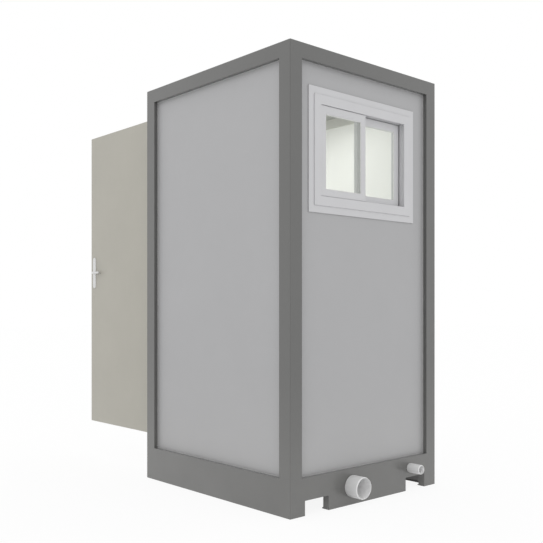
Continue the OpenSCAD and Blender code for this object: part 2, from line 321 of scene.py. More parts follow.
FRAME_PAINT = coated("frame_dark_grey_paint", (0.094, 0.094, 0.0905), spread=0.02, roughness=0.34,
                     specular=0.6, coat=0.7, floor_bounce=0.075)
WALL_PAINT = coated("wall_light_grey_coating", (0.398, 0.398, 0.405), spread=0.012, roughness=0.45,
                    peel=700, floor_bounce=0.13, corner_shade=0.28)
INTERIOR = coated("interior_white_coating", (0.88, 0.88, 0.862), spread=0.01, roughness=0.4, peel=700)
CEILING = coated("ceiling_grey_coating", (0.33, 0.335, 0.311), spread=0.01, roughness=0.5, peel=700)
EDGE_STRIP = coated("ceiling_edge_grey_coating", (0.58, 0.58, 0.54), spread=0.02, roughness=0.45, peel=700)
DOOR_PAINT = coated("door_beige_grey_coating", (0.407, 0.392, 0.343), spread=0.02, roughness=0.42,
                    peel=700, floor_bounce=0.04)
WINDOW_PVC = moulded("window_white_plastic", (0.562, 0.562, 0.574), roughness=0.33)
PIPE = moulded("pipe_grey_plastic", (0.71, 0.71, 0.71), roughness=0.38, grain=500, depth=0.08 * MM)
# Painted light: the pipes' cut ends and bores are whiter than their skin, standing in for the light on the
# end face and inside the bore.
PIPE_END_LIGHT = moulded("pipe_end_painted_light", (0.90, 0.90, 0.90), roughness=0.4, grain=500, depth=0.06 * MM)
SEALANT = rubber("joint_sealant", (0.34, 0.34, 0.34))
# Painted light: the glazing gasket is made paler than its own colour to lift the shade it sits in.
GLAZING_LIGHTENED = rubber("glazing_gasket_painted_light", (0.72, 0.72, 0.70))
RUBBER = rubber("black_rubber", (0.035, 0.035, 0.036))
HANDLE = brushed("satin_aluminium", (0.68, 0.68, 0.675), roughness=0.3)
STEEL = brushed("zinc_plated_steel", (0.56, 0.57, 0.58), roughness=0.36)
GLASS = window_glass("pane_glass")
VINYL = speckled_vinyl("floor_vinyl", (0.17, 0.175, 0.18))
WOOD = plywood("floor_plywood", (0.36, 0.25, 0.15))


# ---------------------------------------------------------------- mesh helpers
def finish_piece(bm, name, body, materials, smooth=30, stands_for=(), bevel=None):
    """Turns a bmesh into a piece that rides on a body and stands for CAD nodes."""
    bmesh.ops.recalc_face_normals(bm, faces=bm.faces)
    mesh = bpy.data.meshes.new(name)
    bm.to_mesh(mesh)
    bm.free()
    for material in materials:
        mesh.materials.append(material)
    if smooth:
        mesh.shade_smooth()
        mesh.set_sharp_from_angle(angle=math.radians(smooth))
    piece = bpy.data.objects.new(name, mesh)
    scene.collection.objects.link(piece)
    if bevel:
        width, segments, limit = bevel
        add_bevel(piece, width, segments, limit)
    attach(piece, body)
    if stands_for:
        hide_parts(*stands_for)
    return piece


def add_bevel(piece, width, segments, limit="ANGLE"):
    """Rounds the edges: the sharp ones for ANGLE, the weighted ones for WEIGHT."""
    modifier = piece.modifiers.new("edge_radius", "BEVEL")
    modifier.width = width
    modifier.segments = segments
    modifier.limit_method = limit
    modifier.angle_limit = math.radians(40)
    modifier.use_clamp_overlap = True
    modifier.harden_normals = True


def box_into(bm, x0, x1, y0, y1, z0, z1):
    """Adds a box to a mesh."""
    corners = [bm.verts.new((x, y, z)) for x in (x0, x1) for y in (y0, y1) for z in (z0, z1)]
    for quad in ((0, 1, 3, 2), (4, 6, 7, 5), (0, 4, 5, 1), (2, 3, 7, 6), (0, 2, 6, 4), (1, 5, 7, 3)):
        bm.faces.new([corners[i] for i in quad])


def inside(box, point):
    """Whether a point lies within a box given as (x0, x1, y0, y1, z0, z1)."""
    return all(box[2 * i] < point[i] < box[2 * i + 1] for i in range(3))


def merged_boxes(boxes, cuts, around, fold=None, paint=None):
    """One closed mesh of a union of boxes less some cuts.

    around holds every box of the welded frame, so that only its real edges are rounded and the ground-flush
    joints between pieces stay flat. fold gives an edge's weight from its middle and direction. paint gives a
    face's material index from its middle and outward direction.
    """
    def cells(which):
        return lambda p: any(inside(b, p) for b in which[0]) and not any(inside(c, p) for c in which[1])

    own, whole = cells((boxes, cuts)), cells((around, cuts))
    low = [min(b[2 * i] for b in boxes) for i in range(3)]
    high = [max(b[2 * i + 1] for b in boxes) for i in range(3)]
    ticks = []
    for i in range(3):
        values = {round(v, 6) for b in [*boxes, *cuts, *around] for v in (b[2 * i], b[2 * i + 1])
                  if low[i] - 1e-6 <= v <= high[i] + 1e-6}
        ticks.append(sorted(values))
    bm = bmesh.new()
    verts = {}

    def vert(i, j, k):
        key = (i, j, k)
        if key not in verts:
            verts[key] = bm.verts.new((ticks[0][i], ticks[1][j], ticks[2][k]))
        return verts[key]

    sizes = [len(t) - 1 for t in ticks]
    filled = set()
    for i in range(sizes[0]):
        for j in range(sizes[1]):
            for k in range(sizes[2]):
                middle = [(ticks[a][c] + ticks[a][c + 1]) / 2 for a, c in enumerate((i, j, k))]
                if own(middle):
                    filled.add((i, j, k))
    sides = (((1, 0, 0), ((1, 0, 0), (1, 1, 0), (1, 1, 1), (1, 0, 1))),
             ((-1, 0, 0), ((0, 0, 0), (0, 0, 1), (0, 1, 1), (0, 1, 0))),
             ((0, 1, 0), ((0, 1, 0), (0, 1, 1), (1, 1, 1), (1, 1, 0))),
             ((0, -1, 0), ((0, 0, 0), (1, 0, 0), (1, 0, 1), (0, 0, 1))),
             ((0, 0, 1), ((0, 0, 1), (1, 0, 1), (1, 1, 1), (0, 1, 1))),
             ((0, 0, -1), ((0, 0, 0), (0, 1, 0), (1, 1, 0), (1, 0, 0))))
    for cell in filled:
        for way, quad in sides:
            if tuple(c + w for c, w in zip(cell, way)) in filled:
                continue
            face = bm.faces.new([vert(*[c + q for c, q in zip(cell, corner)]) for corner in quad])
            if paint:
                face.material_index = paint(face.calc_center_median(), Vector(way))
    layer = bm.edges.layers.float.new("bevel_weight_edge")
    nudge = 0.4 * MM
    for edge in bm.edges:
        a, b = edge.verts[0].co, edge.verts[1].co
        middle, run = (a + b) / 2, (b - a).normalized()
        across = [Vector(v) for v in ((1, 0, 0), (0, 1, 0), (0, 0, 1)) if abs(run.dot(Vector(v))) < 0.5]
        around_edge = [middle + across[0] * p * nudge + across[1] * q * nudge
                       for p in (-1, 1) for q in (-1, 1)]
        if sum(whole(p) for p in around_edge) == 1 and len(edge.link_faces) == 2:
            edge[layer] = fold(middle, run) if fold else 1.0
    return bm


def fillet(points, radii, steps):
    """Rounds the corners of a closed flat outline, with one radius for each point."""
    out = []
    for i, (p, r) in enumerate(zip(points, radii)):
        if r <= 0:
            out.append(tuple(p))
            continue
        p = Vector(p)
        a, b = Vector(points[i - 1]) - p, Vector(points[(i + 1) % len(points)]) - p
        angle = a.angle(b)
        reach = min(r / math.tan(angle / 2), a.length * 0.45, b.length * 0.45)
        turn = reach * math.tan(angle / 2)
        middle = p + (a.normalized() + b.normalized()).normalized() * (turn / math.sin(angle / 2))
        start, end = p + a.normalized() * reach - middle, p + b.normalized() * reach - middle
        sweep = start.angle_signed(end)
        for s in range(steps + 1):
            t = -sweep * s / steps
            out.append((middle.x + start.x * math.cos(t) - start.y * math.sin(t),
                        middle.y + start.x * math.sin(t) + start.y * math.cos(t)))
    return out


def mitred_ring(bm, centre, width, height, section):
    """A closed frame standing in a wall: section is a closed outline of (inset from the outer edge, y)."""
    x, z = centre
    rings = []
    for sx, sz in ((-1, -1), (1, -1), (1, 1), (-1, 1)):
        rings.append([bm.verts.new((x + sx * (width / 2 - inset), y, z + sz * (height / 2 - inset)))
                      for inset, y in section])
    count = len(section)
    for side in range(4):
        a, b = rings[side], rings[(side + 1) % 4]
        for i in range(count):
            j = (i + 1) % count
            bm.faces.new((a[i], b[i], b[j], a[j]))


def closed_band(bm, rings):
    """Faces from each ring of points to the next, and from the last back to the first."""
    for a, b in zip(rings, rings[1:] + rings[:1]):
        for s in range(len(a)):
            t = (s + 1) % len(a)
            bm.faces.new((a[s], a[t], b[t], b[s]))


def swept(bm, section, start, end, side, up):
    """A straight bar: section points are (along side, along up) from the line start to end."""
    start, end, side, up = Vector(start), Vector(end), Vector(side), Vector(up)
    rows = [[bm.verts.new(p + side * u + up * v) for u, v in section] for p in (start, end)]
    count = len(section)
    for i in range(count):
        j = (i + 1) % count
        bm.faces.new((rows[0][i], rows[1][i], rows[1][j], rows[0][j]))
    for row in rows:
        bm.faces.new(row)


def full_turn(steps):
    """The angles of a circle's points."""
    return [2 * math.pi * s / steps for s in range(steps)]


def turned(bm, outline, origin, axis, side, steps=48, material=0):
    """A turned form: outline points are (distance along axis, radius)."""
    origin, axis, side = Vector(origin), Vector(axis).normalized(), Vector(side).normalized()
    other = axis.cross(side)
    rings = []
    for along, radius in outline:
        if radius < 1e-7:
            rings.append([bm.verts.new(origin + axis * along)])
        else:
            centre = origin + axis * along
            rings.append([bm.verts.new(centre + (side * math.cos(t) + other * math.sin(t)) * radius)
                          for t in full_turn(steps)])
    for a, b in zip(rings, rings[1:]):
        for s in range(steps):
            t = (s + 1) % steps
            if len(a) == 1 and len(b) == 1:
                continue
            if len(a) == 1:
                face = bm.faces.new((a[0], b[s], b[t]))
            elif len(b) == 1:
                face = bm.faces.new((a[s], b[0], a[t]))
            else:
                face = bm.faces.new((a[s], b[s], b[t], a[t]))
            face.material_index = material


def tube(bm, path, radii):
    """A closed bar that follows a path of points, with an oval (across, upright) radius at each."""
    steps = 24
    rings = []
    points = [Vector(p) for p in path]
    for i, p in enumerate(points):
        ahead = (points[min(i + 1, len(points) - 1)] - points[max(i - 1, 0)]).normalized()
        up = Vector((0, 0, 1))
        across = ahead.cross(up).normalized()
        a, b = radii[i]
        rings.append([bm.verts.new(p + across * math.cos(t) * a + up * math.sin(t) * b)
                      for t in full_turn(steps)])
    for a, b in zip(rings, rings[1:]):
        for s in range(steps):
            t = (s + 1) % steps
            bm.faces.new((a[s], b[s], b[t], a[t]))
    bm.faces.new(rings[0])
    bm.faces.new(rings[-1])


def screw_head(bm, place, out, radius=4.2 * MM, rise=1.6 * MM):
    """A low domed screw head with a socket in it, sunk a little so that it never floats."""
    out = Vector(out)
    side = Vector((0, 0, 1)) if abs(out.z) < 0.5 else Vector((1, 0, 0))
    sunk = -0.5 * MM
    outline = [(sunk, 0), (sunk, radius * 0.9), (rise * 0.35, radius), (rise * 0.8, radius * 0.82),
               (rise, radius * 0.5), (rise, radius * 0.42), (rise * 0.35, radius * 0.36), (rise * 0.3, 0)]
    turned(bm, outline, place, out, side, steps=18)


# ---------------------------------------------------------------- the welded steel frame
LIFT_IN, LIFT_W, LIFT_H = 111 * MM, 182 * MM, 81 * MM  # lift openings: from the cabin's side, width, height
BASE_T = 45 * MM  # depth of a base rail, without its flange
FLANGE_T = 10 * MM
TOE_W, TOE_H = 8 * MM, 7 * MM
FOLD = 5 * MM  # outer radius of a post's fold
CLEAR = 1 * MM  # how far a cut runs past the metal
lift_middle = HALF - LIFT_IN - LIFT_W / 2
lift_edges = [(side * lift_middle - LIFT_W / 2, side * lift_middle + LIFT_W / 2) for side in (-1, 1)]


def mirrored(boxes, x=False, y=False):
    """The same boxes on the other side of the cabin: left for x, front for y."""
    out = []
    for x0, x1, y0, y1, z0, z1 in boxes:
        if x:
            x0, x1 = -x1, -x0
        if y:
            y0, y1 = FRONT + REAR - y1, FRONT + REAR - y0
        out.append((x0, x1, y0, y1, z0, z1))
    return out


post = [(HALF - POST, HALF, REAR - FRAME_T, REAR, 0, TOP), (HALF - FRAME_T, HALF, REAR - POST, REAR, 0, TOP)]
long_base = [(POST - HALF, HALF - POST, REAR - FRAME_T, REAR, 0, BASE_H),
             (FRAME_T - HALF, HALF - FRAME_T, REAR - BASE_T, REAR - FRAME_T, 0, BASE_H),
             (BASE_T - HALF, HALF - BASE_T, REAR - INNER, REAR - BASE_T, BASE_H - FLANGE_T, BASE_H),
             (BASE_T - HALF, HALF - BASE_T, REAR - BASE_T - TOE_W, REAR - BASE_T, 0, TOE_H)]
side_base = [(HALF - FRAME_T, HALF, FRONT + POST, REAR - POST, 0, BASE_H),
             (HALF - BASE_T, HALF - FRAME_T, FRONT + BASE_T, REAR - BASE_T, 0, BASE_H),
             (HALF - INNER, HALF - BASE_T, FRONT + INNER, REAR - INNER, BASE_H - FLANGE_T, BASE_H),
             (HALF - BASE_T - TOE_W, HALF - BASE_T, FRONT + BASE_T + TOE_W, REAR - BASE_T - TOE_W, 0, TOE_H)]
long_roof = [(POST - HALF, HALF - POST, REAR - FRAME_T, REAR, RAIL_LOW, TOP)]
side_roof = [(HALF - FRAME_T, HALF, FRONT + POST, REAR - POST, RAIL_LOW, TOP)]
members = {
    "corner_post_rear_right": post, "corner_post_rear_left": mirrored(post, x=True),
    "corner_post_front_right": mirrored(post, y=True),
    "corner_post_front_left": mirrored(post, x=True, y=True),
    "base_rail_rear": long_base, "base_rail_front": mirrored(long_base, y=True),
    "base_rail_right": side_base, "base_rail_left": mirrored(side_base, x=True),
    "roof_rail_rear": long_roof, "roof_rail_front": mirrored(long_roof, y=True),
    "roof_rail_right": side_roof, "roof_rail_left": mirrored(side_roof, x=True),
}
rail_depth = BASE_T + TOE_W + CLEAR
lift_cuts = [(x0, x1, y0, y1, -10 * MM, LIFT_H) for x0, x1 in lift_edges
             for y0, y1 in ((REAR - rail_depth, REAR + CLEAR), (FRONT - CLEAR, FRONT + rail_depth))]
every_box = [b for boxes in members.values() for b in boxes]


def frame_fold(middle, run):
    """An edge's share of FOLD: all of it on the posts' outer corners, less at the top, least elsewhere."""
    near = 0.1 * MM
    at_corner = abs(abs(middle.x) - HALF) < near and min(abs(middle.y - REAR), abs(middle.y - FRONT)) < near
    if abs(run.z) > 0.5 and at_corner:
        return 1.0
    if middle.z > TOP - near:
        return 0.6
    return 0.4


def bored(piece, holes):
    """Cuts round holes through the rear base rail along Y and keeps the result in its mesh."""
    reach = 100 * MM
    for x, z, radius in holes:
        bm = bmesh.new()
        outline = [(-reach, 0), (-reach, radius), (reach, radius), (reach, 0)]
        turned(bm, outline, (x, REAR - 30 * MM, z), (0, 1, 0), (0, 0, 1), steps=PIPE_STEPS)
        bmesh.ops.recalc_face_normals(bm, faces=bm.faces)
        mesh = bpy.data.meshes.new("hole")
        bm.to_mesh(mesh)
        bm.free()
        tool = bpy.data.objects.new("hole", mesh)
        scene.collection.objects.link(tool)
        cut = piece.modifiers.new("hole", "BOOLEAN")
        cut.operation, cut.solver, cut.object = "DIFFERENCE", "EXACT", tool
        bpy.context.view_layer.update()
        result = bpy.data.meshes.new_from_object(piece.evaluated_get(bpy.context.evaluated_depsgraph_get()))
        piece.modifiers.clear()
        old = piece.data
        piece.data = result
        bpy.data.meshes.remove(old)
        bpy.data.objects.remove(tool)


PIPE_STEPS = 96
PIPE_RELIEF = 1 * MM  # a stub's radius is this much smaller where it lies in the rail
stub_data = {}  # each stub's x, z and outside radius
for node_name in ("drain_stub", "water_stub"):
    low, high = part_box(node_name)
    stub_data[node_name] = ((low.x + high.x) / 2, (low.z + high.z) / 2, (high.x - low.x) / 2)

for node_name, boxes in members.items():
    bm = merged_boxes(boxes, lift_cuts, every_box, frame_fold)
    piece = finish_piece(bm, "steel_" + node_name, "cabin", [FRAME_PAINT],
                         stands_for=[node_name])
    if node_name == "base_rail_rear":
        bored(piece, [(x, z, r - PIPE_RELIEF) for x, z, r in stub_data.values()])
    add_bevel(piece, FOLD, 3, "WEIGHT")


# ---------------------------------------------------------------- wall panels: grey outside, white inside
def panel_paint(middle, way):
    """Outward faces take the outside coating, the rest the inside one."""
    toward_middle = Vector((-middle.x, MIDDLE_Y - middle.y, 0))
    return 0 if way.dot(toward_middle) < 0 or abs(way.z) > 0.5 else 1


SHEET_EDGE = 0.8 * MM  # radius of a sheet's edge


def wall(name, node_name, cuts=(), outside=WALL_PAINT, inner_side=INTERIOR):
    """A panel the size of its CAD node, less the cuts, with an outside and an inside coating."""
    low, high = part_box(node_name)
    boxes = [(low.x, high.x, low.y, high.y, low.z, high.z)]
    bm = merged_boxes(boxes, list(cuts), boxes, None, panel_paint)
    piece = finish_piece(bm, name, "cabin", [outside, inner_side], stands_for=[node_name])
    add_bevel(piece, SHEET_EDGE, 2, "WEIGHT")


win_lo, win_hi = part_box("window_frame")
FLANGE_W = 40 * MM  # how far the window's flange laps the wall around the hole
win_x, win_z = (win_lo.x + win_hi.x) / 2, (win_lo.z + win_hi.z) / 2
win_w, win_h = win_hi.x - win_lo.x, win_hi.z - win_lo.z
hole = (win_lo.x + FLANGE_W, win_hi.x - FLANGE_W, wall_lo.y - 10 * MM, wall_hi.y + 10 * MM,
        win_lo.z + FLANGE_W, win_hi.z - FLANGE_W)
wall("sandwich_rear_wall", "rear_wall", [hole])
for side_name in ("left_wall", "right_wall", "front_wall_left", "front_wall_right", "front_wall_top"):
    wall("sandwich_" + side_name, side_name)
wall("ceiling_liner", "ceiling_panel", outside=CEILING, inner_side=CEILING)


# ---------------------------------------------------------------- sealant between the frame and the panels
def bead(name, lines):
    """Hollow-faced beads of sealant lying in inner corners: each line is (start, end, side, up)."""
    size, hollow = 3 * MM, 0.72
    bm = bmesh.new()
    arc = [(0, 0), (size, 0)]
    for s in range(1, 4):
        t = math.pi / 2 * s / 4
        arc.append((size - size * math.sin(t) * hollow, size - size * math.cos(t) * hollow))
    arc.append((0, size))
    for start, end, side, up in lines:
        swept(bm, arc, start, end, side, up)
    finish_piece(bm, name, "cabin", [SEALANT])


y_in, x_in = REAR - FRAME_T, HALF - FRAME_T
bay_y0, bay_y1 = FRONT + POST, REAR - POST
for side_name, s in (("right", 1), ("left", -1)):
    x = s * x_in
    bead(side_name + "_wall_sealant", [
        ((x, bay_y0, BASE_H), (x, bay_y1, BASE_H), (s, 0, 0), (0, 0, 1)),
        ((x, bay_y0, RAIL_LOW), (x, bay_y1, RAIL_LOW), (s, 0, 0), (0, 0, -1)),
        ((x, bay_y0, BASE_H), (x, bay_y0, RAIL_LOW), (s, 0, 0), (0, 1, 0)),
        ((x, bay_y1, BASE_H), (x, bay_y1, RAIL_LOW), (s, 0, 0), (0, -1, 0)),
    ])
bay_x = HALF - POST
bead("rear_wall_sealant", [
    ((-bay_x, y_in, BASE_H), (bay_x, y_in, BASE_H), (0, 1, 0), (0, 0, 1)),
    ((-bay_x, y_in, RAIL_LOW), (bay_x, y_in, RAIL_LOW), (0, 1, 0), (0, 0, -1)),
    ((-bay_x, y_in, BASE_H), (-bay_x, y_in, RAIL_LOW), (0, 1, 0), (1, 0, 0)),
    ((bay_x, y_in, BASE_H), (bay_x, y_in, RAIL_LOW), (0, 1, 0), (-1, 0, 0)),
])

# ---------------------------------------------------------------- the window
PROFILE = 94 * MM  # from the flange's edge to the opening
TRACK = PROFILE - 3 * MM  # bottom of the two tracks that the sashes run in
BACK = PROFILE + 14 * MM  # the frame's back leg, behind the inner sash
LAP = 6 * MM  # thickness of the flange
FRONT_LIP, RIB_FROM, RIB_TO = 6 * MM, 35 * MM, 38 * MM  # from the frame's face to the tracks' lips
LEG_T = 8 * MM
wall_y = wall_hi.y
face_y, back_y = win_hi.y, win_lo.y
bm = bmesh.new()
section = [(0, wall_y), (0, wall_y + LAP - 0.8 * MM), (0.8 * MM, wall_y + LAP),
           (FLANGE_W - 2 * MM, wall_y + LAP), (FLANGE_W - 1 * MM, wall_y + LAP - 0.6 * MM),
           (FLANGE_W, wall_y + LAP), (FLANGE_W + 0.6 * MM, face_y - 1 * MM), (FLANGE_W + 1.6 * MM, face_y),
           (PROFILE - 2 * MM, face_y),
           (PROFILE, face_y - 2 * MM), (PROFILE, face_y - FRONT_LIP), (TRACK, face_y - FRONT_LIP),
           (TRACK, face_y - RIB_FROM), (PROFILE, face_y - RIB_FROM), (PROFILE, face_y - RIB_TO),
           (TRACK, face_y - RIB_TO), (TRACK, back_y + LEG_T), (BACK - 1 * MM, back_y + LEG_T),
           (BACK, back_y + LEG_T - 1 * MM), (BACK, back_y), (FLANGE_W, back_y), (FLANGE_W, wall_y)]
mitred_ring(bm, (win_x, win_z), win_w, win_h, section)
finish_piece(bm, "window_surround", "cabin", [WINDOW_PVC], smooth=25,
             stands_for=["window_frame"], bevel=(0.8 * MM, 2, "ANGLE"))

TRIM_W = 25 * MM
trim_lo, trim_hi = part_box("window_inner_trim")
bm = bmesh.new()
section = [(0, trim_hi.y), (0, trim_lo.y + 3 * MM), (3 * MM, trim_lo.y), (TRIM_W, trim_lo.y),
           (TRIM_W, trim_hi.y)]
mitred_ring(bm, (win_x, win_z), trim_hi.x - trim_lo.x, trim_hi.z - trim_lo.z, section)
finish_piece(bm, "window_inside_cover_strip", "cabin", [WINDOW_PVC], smooth=25,
             stands_for=["window_inner_trim"], bevel=(0.8 * MM, 2, "ANGLE"))

SASH_W, SASH_TOP_W = 40 * MM, 46 * MM  # stiles and bottom rail, top rail
PANE_BACK = 8 * MM  # the pane's middle, behind the sash's face
PANE_T = 6 * MM
SASH_GAPS = {"left": (10, 0, 0, 2.5), "right": (0, 1.2, 1.5, 1.0)}  # clearance at -X, +X, below and above, mm
for side_name, gaps in SASH_GAPS.items():
    low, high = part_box("window_sash_" + side_name)
    x0, x1, z0, z1 = low.x + gaps[0] * MM, high.x - gaps[1] * MM, low.z + gaps[2] * MM, high.z - gaps[3] * MM
    back, face = low.y, high.y
    pane_y = face - PANE_BACK
    outline = [(0, back), (0, face - 1.2 * MM), (1.2 * MM, face), (30 * MM, face), (31 * MM, face - 1 * MM),
               (32 * MM, face - 1 * MM), (33 * MM, face - 0.4 * MM), (39 * MM, face - 1.6 * MM),
               (SASH_W, face - 2.6 * MM), (SASH_W, back + 6 * MM), (30 * MM, back)]
    bm = bmesh.new()
    rings = []
    for f, y in outline:
        top = f * SASH_TOP_W / SASH_W
        corners = ((x0 + f, z0 + f), (x1 - f, z0 + f), (x1 - f, z1 - top), (x0 + f, z1 - top))
        rings.append([bm.verts.new((x, y, z)) for x, z in corners])
    closed_band(bm, rings)
    finish_piece(bm, "sliding_sash_" + side_name, "cabin", [WINDOW_PVC], smooth=25,
                 stands_for=["window_sash_" + side_name], bevel=(0.7 * MM, 2, "ANGLE"))
    px0, px1, pz0, pz1 = x0 + SASH_W, x1 - SASH_W, z0 + SASH_W, z1 - SASH_TOP_W
    bm = bmesh.new()
    glass_face = pane_y + PANE_T / 2
    section = [(0, glass_face), (0, glass_face + 1.6 * MM), (1.0 * MM, glass_face + 2.2 * MM),
               (2 * MM, glass_face + 1.4 * MM), (2.4 * MM, glass_face)]
    mitred_ring(bm, ((px0 + px1) / 2, (pz0 + pz1) / 2), px1 - px0, pz1 - pz0, section)
    finish_piece(bm, "glazing_seal_" + side_name, "cabin", [GLAZING_LIGHTENED])
    bm = bmesh.new()
    box_into(bm, px0, px1, pane_y - PANE_T / 2, pane_y + PANE_T / 2, pz0, pz1)
    finish_piece(bm, "pane_" + side_name, "cabin", [GLASS], smooth=0,
                 stands_for=["window_glass_" + side_name])

# ---------------------------------------------------------------- pipe stubs
PIPE_WALL = 4 * MM
PIPE_RIM = 1.6 * MM  # width of the end face that the chamfer leaves
PIPE_OUT = 5 * MM  # the full radius starts this far outside the rail
CHAMFER = {"drain_stub": 7 * MM, "water_stub": 5 * MM}
for node_name, (x, z, r) in stub_data.items():
    low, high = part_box(node_name)
    length = high.y - low.y
    step = REAR + PIPE_OUT - low.y
    chamfer, bore, slim = CHAMFER[node_name], r - PIPE_WALL, r - PIPE_RELIEF
    skin = [(0, bore), (0, slim - 0.4 * MM), (0.4 * MM, slim), (step - 0.5 * MM, slim), (step, r - 0.5 * MM),
            (step + 0.5 * MM, r), (length - chamfer, r)]
    # Painted light: the chamfer, end face and bore take the whiter material.
    lit_end = [(length - chamfer, r), (length - 0.6 * MM, bore + PIPE_RIM), (length, bore + PIPE_RIM - 0.5 * MM),
            (length, bore + 0.5 * MM), (length - 0.5 * MM, bore), (0, bore)]
    bm = bmesh.new()
    turned(bm, skin, (x, low.y, z), (0, 1, 0), (0, 0, 1), steps=PIPE_STEPS)
    turned(bm, lit_end, (x, low.y, z), (0, 1, 0), (0, 0, 1), steps=PIPE_STEPS, material=1)
    bmesh.ops.remove_doubles(bm, verts=bm.verts, dist=1e-6)
    finish_piece(bm, node_name + "_pipe", "cabin", [PIPE, PIPE_END_LIGHT], stands_for=[node_name])

# ---------------------------------------------------------------- roof and underframe
FLASHING_W, FLASHING_H, FLASHING_T = 26 * MM, 18 * MM, 2 * MM
SCREWS, SCREW_IN = 6, 16 * MM  # roof screws along each side, and how far in from the sheet's edge
sheet_lo, sheet_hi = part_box("roof_sheet")
bm = bmesh.new()
box_into(bm, sheet_lo.x, sheet_hi.x, sheet_lo.y, sheet_hi.y, sheet_lo.z, sheet_hi.z)
finish_piece(bm, "roof_cover_sheet", "cabin", [WALL_PAINT], smooth=0, stands_for=["roof_sheet"],
             bevel=(SHEET_EDGE, 2, "ANGLE"))
bm = bmesh.new()
section = fillet([(0, 0), (FLASHING_W, 0), (FLASHING_W, FLASHING_T), (3 * MM, 3 * MM),
                  (FLASHING_T, FLASHING_H), (0, FLASHING_H)], [0, 0, 1 * MM, 3 * MM, 0.8 * MM, 0], 3)
sx, sy0, sy1, sz = sheet_hi.x, sheet_lo.y, sheet_hi.y, sheet_hi.z
for start, end, side in (((-sx, sy0), (-sx, sy1), (1, 0, 0)), ((sx, sy0), (sx, sy1), (-1, 0, 0)),
                         ((-sx, sy0), (sx, sy0), (0, 1, 0)), ((-sx, sy1), (sx, sy1), (0, -1, 0))):
    swept(bm, section, (*start, sz), (*end, sz), side, (0, 0, 1))
finish_piece(bm, "roof_edge_flashing", "cabin", [FRAME_PAINT])
bm = bmesh.new()
for k in range(SCREWS):
    along = (k + 0.5) / SCREWS
    for s, edge_y in ((-1, sy0 + SCREW_IN), (1, sy1 - SCREW_IN)):
        screw_head(bm, (s * (sx - SCREW_IN), sy0 + (sy1 - sy0) * along, sz + FLASHING_T), (0, 0, 1))
        screw_head(bm, (-sx + 2 * sx * along, edge_y, sz + FLASHING_T), (0, 0, 1))
finish_piece(bm, "roof_flashing_screws", "cabin", [STEEL])


def plain(node_name, material, bevel):
    """Keeps a CAD node and gives it its material and softened edges."""
    node = frame["nodes"][node_name]
    node.data.materials.clear()
    node.data.materials.append(material)
    weld = node.modifiers.new("weld", "WELD")
    weld.merge_threshold = 0.01 * MM
    add_bevel(node, bevel, 2)


plain("floor_joists", FRAME_PAINT, 2 * MM)
plain("floor_board", WOOD, 0.5 * MM)
plain("floor_covering", VINYL, 0.5 * MM)
plain("ceiling_trim", EDGE_STRIP, 1.2 * MM)

# ---------------------------------------------------------------- door frame
for node_name in ("door_jamb_hinge_side", "door_jamb_lock_side", "door_head"):
    plain(node_name, FRAME_PAINT, 1.5 * MM)
plain("door_sill", STEEL, 1.5 * MM)
jamb_r, jamb_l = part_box("door_jamb_hinge_side"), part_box("door_jamb_lock_side")
sill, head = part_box("door_sill"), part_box("door_head")
SEAL_W, SEAL_IN = 9 * MM, 1.5 * MM  # width of the seal, and how far it lies back from the stop's edge
stop_y = jamb_r[1].y - 14 * MM  # face of the stop that the leaf closes on
seal = fillet([(0, 0), (SEAL_W, 0), (SEAL_W, 1.5 * MM), (6 * MM, 4.5 * MM), (3 * MM, 4.5 * MM),
               (0, 1.5 * MM)], [1 * MM] * 6, 2)
bm = bmesh.new()
in_r, in_l, in_top = jamb_r[0].x + SEAL_IN, jamb_l[1].x - SEAL_IN, head[0].z + SEAL_IN
swept(bm, seal, (in_r, stop_y, sill[1].z), (in_r, stop_y, head[0].z), (1, 0, 0), (0, -1, 0))
swept(bm, seal, (in_l, stop_y, sill[1].z), (in_l, stop_y, head[0].z), (-1, 0, 0), (0, -1, 0))
swept(bm, seal, (in_l - SEAL_W, stop_y, in_top), (in_r + SEAL_W, stop_y, in_top), (0, 0, 1), (0, -1, 0))
finish_piece(bm, "door_rebate_seal", "cabin", [RUBBER])

# ---------------------------------------------------------------- door leaf
PLATE_SCREW = 103 * MM  # the lock plate's screws, above and below its middle
leaf_box = [(leaf_lo.x, leaf_hi.x, leaf_lo.y, leaf_hi.y, leaf_lo.z, leaf_hi.z)]
plate_lo, plate_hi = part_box("lock_faceplate")
notch = (plate_lo.x, plate_hi.x, plate_lo.y - 10 * MM, plate_hi.y, plate_lo.z, plate_hi.z)
bm = merged_boxes(leaf_box, [notch], leaf_box)
finish_piece(bm, "door_leaf_skin", "door", [DOOR_PAINT], stands_for=["door_leaf"],
             bevel=(2.5 * MM, 3, "WEIGHT"))

bm = bmesh.new()
box_into(bm, plate_lo.x, plate_hi.x, plate_lo.y, plate_hi.y, plate_lo.z, plate_hi.z)
middle_x, middle_z = (plate_lo.x + plate_hi.x) / 2, (plate_lo.z + plate_hi.z) / 2
for dz in (-PLATE_SCREW, PLATE_SCREW):
    screw_head(bm, (middle_x, plate_lo.y + 1.2 * MM, middle_z + dz), (0, -1, 0), 3.8 * MM, 1 * MM)
finish_piece(bm, "lock_plate", "door", [HANDLE], stands_for=["lock_faceplate"])

